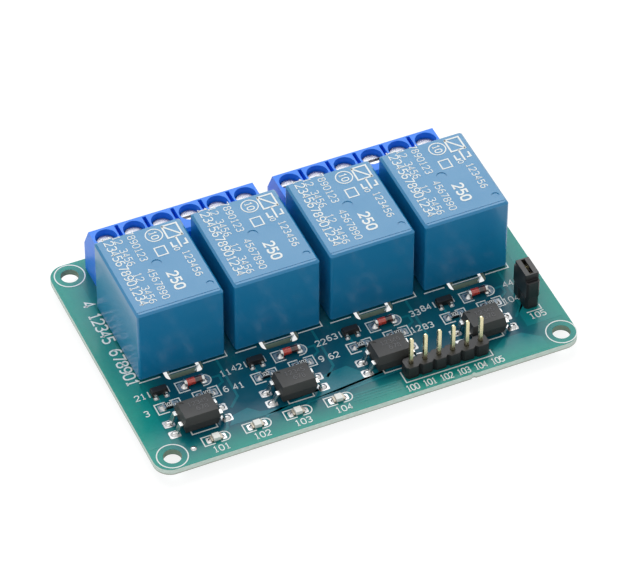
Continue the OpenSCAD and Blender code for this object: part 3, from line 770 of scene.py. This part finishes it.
class RELAYBOARD_OT_relays(PieceOperator):
    """Finish the relays and print their tops"""

    bl_idname = "relay_board.relays"
    bl_label = "Relays"

    def execute(self, context):
        look = self.look(context)
        case = moulded("moulded_relay_case", look.plastic.relay, 0.36, 0.14, 0.006, vary=0.14, coat=0.5)
        base = moulded("moulded_relay_base", colour("#12406a"), 0.5)
        pins = plated("tinned_brass_pins", look.metal.tin, 0.22, 0.3, 0.004, (1, 1, 4))
        for n in CHANNELS:
            soften(dress(f"relay_cover_{n}", case), look.plastic.edge, 2)
            dress(f"relay_base_{n}", base)
            self.print_top(n, look.board)
        soften(dress("relay_pins", pins), 0.06, 1)
        return {"FINISHED"}

    def print_top(self, n, look):
        """Pad print on one relay: rows of plain digits and a generic sketch."""
        low, high = RELAY_BOX[n]
        ink = bpy.data.materials.get("pad_printed_ink") or legend_ink(look, "pad_printed_ink")
        bm = bmesh.new()
        top = high.z

        def plane(x, y):
            """A plane on the relay's top, so many millimetres from its front left corner."""
            return lay((low.x + x, low.y + y, top), -90)

        rows = [
            (2.2, 10.75, "12345678901234", 1.5, 0.2, 0.835),
            (3.8, 15.2, "12 3456", 1.25, 0.14, 0.88),
            (3.8, 5.7, "12 3456", 1.25, 0.14, 0.88),
            (6.15, 15.4, "7890123", 1.25, 0.14, 0.88),
            (6.15, 5.8, "4567890", 1.25, 0.14, 0.88),
            (13.2, 8.0, "123456", 1.2, 0.15, 0.92),
        ]
        for x, y, text, size, weight, advance in rows:
            figures(bm, plane(x, y), text, size, weight, advance)
        # a plain sketch of a box with a diagonal and two bent lines
        sketch = plane(13.0, 15.4)
        for points in (
            [(-2.6, -1.3), (-2.6, 1.3), (0.4, 1.3), (0.4, -1.3), (-2.6, -1.3)],
            [(-2.6, -1.3), (0.4, 1.3)],
            [(0.4, 0), (3.2, 0.0)],
            [(1.4, 1.3), (2.6, 1.3), (2.6, 0.55)],
            [(1.4, -1.3), (2.6, -1.3), (2.6, -0.55)],
        ):
            stroke(bm, sketch, points, 0.3)
        # a ringed number, a square and two numbers
        ring = plane(9.8, 16.6)
        stroke(bm, ring, arc((0, 0), 1.45, 0, 345, 23), 0.2, closed=True)
        figures(bm, ring, "10", 1.2, 0.2)
        stroke(bm, plane(9.5, 12.7), [(-1.0, -0.9), (1.0, -0.9), (1.0, 0.9), (-1.0, 0.9)], 0.22, closed=True)
        figures(bm, plane(9.2, 5.4), "250", 1.7, 0.34, 0.9)
        figures(bm, plane(12.1, 12.1), "0", 0.9, 0.14)
        make_piece(f"relay_print_{n}", bm, [ink])


class RELAYBOARD_OT_terminals(PieceOperator):
    """Finish the screw terminals, their screws, clamps and contacts"""

    bl_idname = "relay_board.terminals"
    bl_label = "Screw terminals"

    def execute(self, context):
        look = self.look(context)
        housing = moulded("moulded_polyamide_housing", look.plastic.terminal, 0.38, 0.16, 0.008, vary=0.12)
        screw = turned_plate("turned_zinc_plate", look.metal.screw)
        clamp = plated("stamped_nickel_plate", colour("#c6c4be"), 0.25, 0.4)
        contact = plated("stamped_tin_plate", look.metal.tin, 0.28, 0.4)
        for n in CHANNELS:
            soften(dress(f"terminal_block_{n}", housing), look.plastic.edge, 2)
            soften(dress(f"terminal_contacts_{n}", contact), 0.05, 1)
        for n in POLES:
            soften(dress(f"clamp_screw_{n}", screw), 0.05, 1, 50)
            soften(dress(f"wire_clamp_{n}", clamp), 0.08, 1)
        return {"FINISHED"}


class RELAYBOARD_OT_optocouplers(PieceOperator):
    """Finish the optocouplers and mark their tops"""

    bl_idname = "relay_board.optocouplers"
    bl_label = "Optocouplers"

    def execute(self, context):
        look = self.look(context)
        body = moulded("moulded_epoxy_package", look.plastic.epoxy, 0.5, 0.1, 0.008, vary=0.3)
        mark = moulded("laser_marked_epoxy", colour("#6d6d70"), 0.7)
        leads = plated("tinned_lead_frame", look.metal.tin, 0.18, 0.3)
        bm = bmesh.new()
        for n in CHANNELS:
            soften(dress(f"optocoupler_{n}", body), 0.08, 2, 20)
            high = board_box(f"optocoupler_{n}")[1]
            at = OPTO_AT[n]
            figures(bm, lay((at.x + 0.3, at.y + 0.7, high.z)), "12345", 0.85, 0.1)
            figures(bm, lay((at.x + 0.6, at.y - 0.6, high.z)), "678", 0.85, 0.1)
        soften(dress("optocoupler_leads", leads), 0.05, 1)
        make_piece("optocoupler_marks", bm, [mark])
        return {"FINISHED"}


class RELAYBOARD_OT_small_parts(PieceOperator):
    """Finish the transistors, diodes, resistors and indicators"""

    bl_idname = "relay_board.small_parts"
    bl_label = "Small parts"

    def execute(self, context):
        look = self.look(context)
        tin = plated("tinned_chip_ends", look.metal.tin, 0.2, 0.3)
        body = moulded("moulded_epoxy_small", colour("#161618"), 0.42, 0.1, 0.006)
        soften(dress("transistors", body), 0.05, 1)
        soften(dress("transistor_leads", tin), 0.03, 1)
        dress("diode_glass", red_glass())
        soften(dress("diode_caps", tin), 0.05, 2)
        film = moulded("glazed_resistor_film", colour("#101012"), 0.25, coat=0.4)
        chips = dress("resistors", film, tin)
        self.metal_ends(chips, 0.35)
        soften(chips, 0.04, 1)
        lens = moulded("diffusing_epoxy_lens", colour("#f3f4ee"), 0.3, 0.2, 0.004, vary=0.05)
        lights = dress("indicator_lights", lens, plated("gilt_light_ends", colour("#9c968a"), 0.3, 0.3))
        for face in lights.data.polygons:
            if on_board(face.center).z < 0.41 and not self.under_dome(face):
                face.material_index = 1
        soften(lights, 0.05, 2)
        white = legend_ink(look.board, "resistor_marking_ink")
        bm = bmesh.new()
        top = board_box("resistors")[1].z
        for n in CHANNELS:
            for x in RESISTOR_AT:
                figures(bm, lay((RELAY_X[n] + x, RESISTOR_Y, top - 0.04)), "102", 0.75, 0.11, 0.56, 0.5)
        make_piece("resistor_marks", bm, [white])
        return {"FINISHED"}

    def metal_ends(self, chips, length):
        """Puts the second finish on each chip's two ends."""
        for face in chips.data.polygons:
            at = on_board(face.center)
            for n in CHANNELS:
                for x in RESISTOR_AT:
                    away = abs(at.x - RELAY_X[n] - x)
                    if 1.0 - length - 1e-3 <= away <= 1.01:
                        face.material_index = 1

    def under_dome(self, face):
        """Whether a face belongs to an indicator's lens rather than to its ends."""
        at = on_board(face.center)
        return any(abs(at.x - LIGHT_X[n]) < 0.61 for n in CHANNELS)


class RELAYBOARD_OT_headers(PieceOperator):
    """Finish the pin headers and the jumper"""

    bl_idname = "relay_board.headers"
    bl_label = "Headers and jumper"

    def execute(self, context):
        look = self.look(context)
        strip = moulded("moulded_header_strip", look.plastic.black, 0.42, 0.12, 0.01, vary=0.3)
        cap = moulded("moulded_jumper_cap", look.plastic.black, 0.34, 0.12, 0.008, vary=0.2)
        pin = plated("gilt_square_wire", look.metal.pin, 0.2, 0.25, 0.001)
        spring = plated("tinned_spring_clip", look.metal.tin, 0.2, 0.3)
        for node in ("input_strip", "jumper_strip"):
            soften(dress(node, strip), 0.06, 2)
        for node in ("input_pins", "jumper_pins"):
            soften(dress(node, pin), 0.04, 1)
        soften(dress("jumper_cap", cap), 0.08, 2)
        soften(dress("jumper_clip", spring), 0.03, 1)
        return {"FINISHED"}


class RELAYBOARD_OT_solder(PieceOperator):
    """Add pads and solder joints on both faces"""

    bl_idname = "relay_board.solder"
    bl_label = "Solder"

    def execute(self, context):
        look = self.look(context)
        shine = plated("reflowed_solder", look.metal.solder, 0.12, 0.5, 0.03)
        pad = plated("levelled_solder_pad", look.metal.solder, 0.28, 0.4, 0.01)
        luck = random.Random(11)
        bm = bmesh.new()
        for n in CHANNELS:
            self.surface_joints(bm, n, luck)
        mound(bm, BOARD_TOP, (7.2, 3.1), (0.55, 0.55), 0.3, hollow=0.1)
        make_piece("surface_solder", bm, [shine, pad])
        bm = bmesh.new()
        self.hole_joints(bm)
        make_piece("hole_solder", bm, [shine, pad])
        return {"FINISHED"}

    def surface_joints(self, bm, n, luck):
        """Pads and beads for one channel's surface-mounted parts."""
        x = RELAY_X[n]
        opto = OPTO_AT[n]
        for sx in (-1, 1):
            for sy in (-1, 1):
                at = (opto.x + sx * 4.65, opto.y + sy * 1.27)
                patch(bm, BOARD_TOP, oblong(at[0], at[1], 1.9, 1.6), COPPER_T, 1)
                size = 0.72 + luck.uniform(-0.06, 0.06)
                mound(bm, BOARD_TOP, at, (size, size * 0.9), 0.5, hollow=0.15)
        for rx in RESISTOR_AT:
            for s in (-1, 1):
                at = (x + rx + s * 1.1, RESISTOR_Y)
                patch(bm, BOARD_TOP, oblong(at[0] + s * 0.15, at[1], 1.2, 1.5), COPPER_T, 1)
                mound(bm, BOARD_TOP, at, (0.5, 0.66), 0.42, hollow=0.5)
        for s in (-1, 1):
            at = (DIODE_X[n] + s * 1.95, DIODE_Y)
            patch(bm, BOARD_TOP, oblong(at[0], at[1], 1.6, 1.7), COPPER_T, 1)
            mound(bm, BOARD_TOP, (at[0] - s * 0.2, at[1]), (0.66, 0.76), 0.62, hollow=0.5)
        for px, py in ((1.05, -1.0), (2.95, -1.0), (2.0, 1.0)):
            at = (x + px, TRANSISTOR_Y + py)
            patch(bm, BOARD_TOP, oblong(at[0], at[1], 0.9, 1.0), COPPER_T, 1)
            mound(bm, BOARD_TOP, at, (0.36, 0.42), 0.3, hollow=0.35)
        light = LIGHT_X[n]
        for s in (-1, 1):
            at = (light + s * 1.15, LIGHT_Y)
            patch(bm, BOARD_TOP, oblong(at[0], at[1], 1.2, 1.3), COPPER_T, 1)
            mound(bm, BOARD_TOP, (at[0] - s * 0.1, at[1]), (0.42, 0.5), 0.3, hollow=0.5)

    def hole_joints(self, bm):
        """Pads and fillets round every lead under the board."""
        under = lay((0, BOARD_D, -BOARD_T), flip=True)
        leads = []
        for n in CHANNELS:
            x = RELAY_X[n]
            pins = [(RELAY_W / 2, 2.3), (1.7, 4.3), (RELAY_W - 1.7, 4.3), (1.7, 16.5), (RELAY_W - 1.7, 16.5)]
            leads += [(x + px, RELAY_Y + py, 1.5, 0.55) for px, py in pins]
        for n in POLES:
            at = middle(f"clamp_screw_{n}")
            tail = board_box(f"terminal_contacts_{(n + 2) // 3}")[0]
            leads.append((at.x, tail.y + 0.25, 1.35, 0.45))
        low = INPUT_BOX[0]
        for k in range(6):
            leads.append((low.x + (k + 0.5) * HEAD_PITCH, middle("input_strip").y, 0.95, 0.36))
        for k in (0, 1):
            y = JUMPER_BOX[0].y + (k + 0.5) * HEAD_PITCH
            leads.append((middle("jumper_strip").x, y, 0.95, 0.36))
        for x, y, size, stem in leads:
            patch(bm, under, oblong(x, BOARD_D - y, 2 * size, 2 * size, size, 6), COPPER_T, 1)
            mound(bm, under, (x, BOARD_D - y), (size * 0.92, size * 0.92), 1.25, stem, 0.8)


class RELAYBOARD_OT_stage(PieceOperator):
    """Set the floor, the light and the camera"""

    bl_idname = "relay_board.stage"
    bl_label = "Stage"

    def execute(self, context):
        look = self.look(context).stage
        self.floor()
        self.sky(context, look.sky)
        self.lamp("key_light", (0.12, 0.75, 1.05), (1.3, 1.1), look.key)
        self.lamp("fill_light", (-0.7, -0.9, 0.7), (0.9, 0.9), look.fill)
        self.camera(context, look.lens)
        context.scene.view_settings.view_transform = "Standard"
        return {"FINISHED"}

    def seen(self, tree):
        """1 for rays from the camera, from gloss and through glass."""
        path = add_node(tree, "ShaderNodeLightPath", {}, {})
        direct = add_node(
            tree,
            "ShaderNodeMath",
            {"operation": "MAXIMUM"},
            {0: path.outputs["Is Camera Ray"], 1: path.outputs["Is Glossy Ray"]},
        )
        return add_node(
            tree,
            "ShaderNodeMath",
            {"operation": "MAXIMUM"},
            {0: direct.outputs[0], 1: path.outputs["Is Transmission Ray"]},
        ).outputs[0]

    def floor(self):
        """A pale painted floor that shows white and keeps the shadow."""
        bm = bmesh.new()
        bmesh.ops.create_grid(bm, x_segments=1, y_segments=1, size=6)
        mesh = bpy.data.meshes.new("floor")
        bm.to_mesh(mesh)
        bm.free()
        floor = bpy.data.objects.new("floor", mesh)
        floor.location.z = CAD_BOX[0][2]
        bpy.context.scene.collection.objects.link(floor)
        paint = bpy.data.materials.new("matt_white_floor_paint")
        paint.use_nodes = True
        tree = paint.node_tree
        tree.nodes.clear()
        matt = add_node(tree, "ShaderNodeBsdfDiffuse", {}, {"Color": colour("#e8e8e8")})
        faint = add_node(tree, "ShaderNodeBsdfDiffuse", {}, {"Color": colour("#8c8c8c")})
        glow = add_node(tree, "ShaderNodeEmission", {}, {"Color": (1, 1, 1, 1), "Strength": 0.85})
        both = add_node(tree, "ShaderNodeAddShader", {}, {0: faint.outputs[0], 1: glow.outputs[0]})
        chosen = add_node(
            tree, "ShaderNodeMixShader", {}, {0: self.seen(tree), 1: matt.outputs[0], 2: both.outputs[0]}
        )
        add_node(tree, "ShaderNodeOutputMaterial", {}, {"Surface": chosen.outputs[0]})
        mesh.materials.append(paint)

    def sky(self, context, strength):
        """An even pale sky, white where it is seen."""
        world = bpy.data.worlds.new("even_sky")
        context.scene.world = world
        world.use_nodes = True
        tree = world.node_tree
        tree.nodes.clear()
        dim = add_node(tree, "ShaderNodeBackground", {}, {"Color": (1, 1, 1, 1), "Strength": strength})
        white = add_node(tree, "ShaderNodeBackground", {}, {"Color": (1, 1, 1, 1), "Strength": 1.0})
        chosen = add_node(
            tree, "ShaderNodeMixShader", {}, {0: self.seen(tree), 1: dim.outputs[0], 2: white.outputs[0]}
        )
        add_node(tree, "ShaderNodeOutputWorld", {}, {"Surface": chosen.outputs[0]})

    def lamp(self, name, place, size, power):
        """A soft rectangular lamp aimed at the board."""
        data = bpy.data.lights.new(name, "AREA")
        data.shape = "RECTANGLE"
        data.size, data.size_y = size
        data.energy = power
        lamp = bpy.data.objects.new(name, data)
        lamp.location = place
        lamp.rotation_mode = "QUATERNION"
        lamp.rotation_quaternion = (-Vector(place)).to_track_quat("-Z", "Y")
        bpy.context.scene.collection.objects.link(lamp)

    def camera(self, context, lens):
        """A long lens above the front left corner."""
        data = bpy.data.cameras.new("camera")
        data.sensor_width = 36
        data.lens = lens
        data.clip_start, data.clip_end = 0.01, 20
        camera = bpy.data.objects.new("camera", data)
        turn, tilt = CAMERA_TURN, CAMERA_TILT
        back = Vector(
            (math.sin(turn) * math.cos(tilt), -math.cos(turn) * math.cos(tilt), math.sin(tilt))
        )
        camera.location = Vector(CAMERA_AIM) * MM + back * CAMERA_REACH
        camera.rotation_mode = "QUATERNION"
        camera.rotation_quaternion = (-back).to_track_quat("-Z", "Y")
        context.scene.collection.objects.link(camera)
        context.scene.camera = camera


OPERATORS = [
    RELAYBOARD_OT_laminate,
    RELAYBOARD_OT_legend,
    RELAYBOARD_OT_relays,
    RELAYBOARD_OT_terminals,
    RELAYBOARD_OT_optocouplers,
    RELAYBOARD_OT_small_parts,
    RELAYBOARD_OT_headers,
    RELAYBOARD_OT_solder,
    RELAYBOARD_OT_stage,
]


class RELAYBOARD_PT_pieces(bpy.types.Panel):
    """Lists the board's settings and steps"""

    bl_idname = "RELAYBOARD_PT_pieces"
    bl_label = "Relay Board"
    bl_space_type = "VIEW_3D"
    bl_region_type = "UI"
    bl_category = "Relay Board"

    def draw(self, context):
        """Draws the settings, then a button for each step."""
        look = context.scene.relay_board
        for group in (look.board, look.plastic, look.metal, look.stage):
            box = self.layout.box()
            for name in group.bl_rna.properties.keys():
                if name not in ("rna_type", "name"):
                    box.prop(group, name)
        for operator in OPERATORS:
            self.layout.operator(operator.bl_idname)


CLASSES = [BoardLook, PlasticLook, MetalLook, StageLook, RelayBoardLook, *OPERATORS, RELAYBOARD_PT_pieces]


def register():
    """Registers the settings, the operators and the panel."""
    for kind in CLASSES:
        bpy.utils.register_class(kind)
    bpy.types.Scene.relay_board = PointerProperty(type=RelayBoardLook)


def unregister():
    """Takes the settings, the operators and the panel away again."""
    del bpy.types.Scene.relay_board
    for kind in reversed(CLASSES):
        bpy.utils.unregister_class(kind)


def main():
    """Builds every piece in order."""
    register()
    bpy.ops.relay_board.laminate()
    bpy.ops.relay_board.legend()
    bpy.ops.relay_board.relays()
    bpy.ops.relay_board.terminals()
    bpy.ops.relay_board.optocouplers()
    bpy.ops.relay_board.small_parts()
    bpy.ops.relay_board.headers()
    bpy.ops.relay_board.solder()
    bpy.ops.relay_board.stage()
    bpy.context.view_layer.update()


if __name__ == "__main__":
    main()
